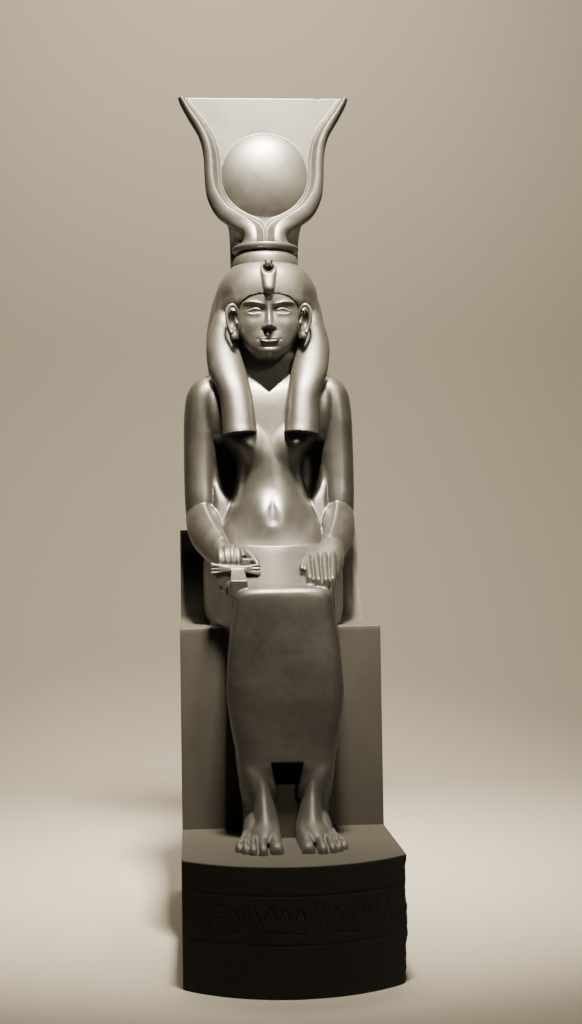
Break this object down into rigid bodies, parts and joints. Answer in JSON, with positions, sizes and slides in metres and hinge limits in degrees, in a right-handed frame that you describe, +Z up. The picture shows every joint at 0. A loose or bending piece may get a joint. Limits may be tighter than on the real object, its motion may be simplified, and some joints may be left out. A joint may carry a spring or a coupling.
{
  "type": "seated goddess statue",
  "caption": "Dark stone statue of a seated goddess with horned sun-disc crown, long wig and tight dress, on a throne and low bow-fronted base.",
  "frame": {"origin": "middle of the flat underside of the base", "axes": "+Z up, -Y the way the figure faces, +X to the viewer's right as the figure is faced"},
  "size_m": [0.2, 0.45, 0.9],
  "materials": {
    "dark_stone": "fine-grained dark grey stone, rubbed to a soft polish, matter on the base"
  },
  "bodies": {
    "root": {"isis_statue": "dark_stone"}
  },
  "joints": []
}
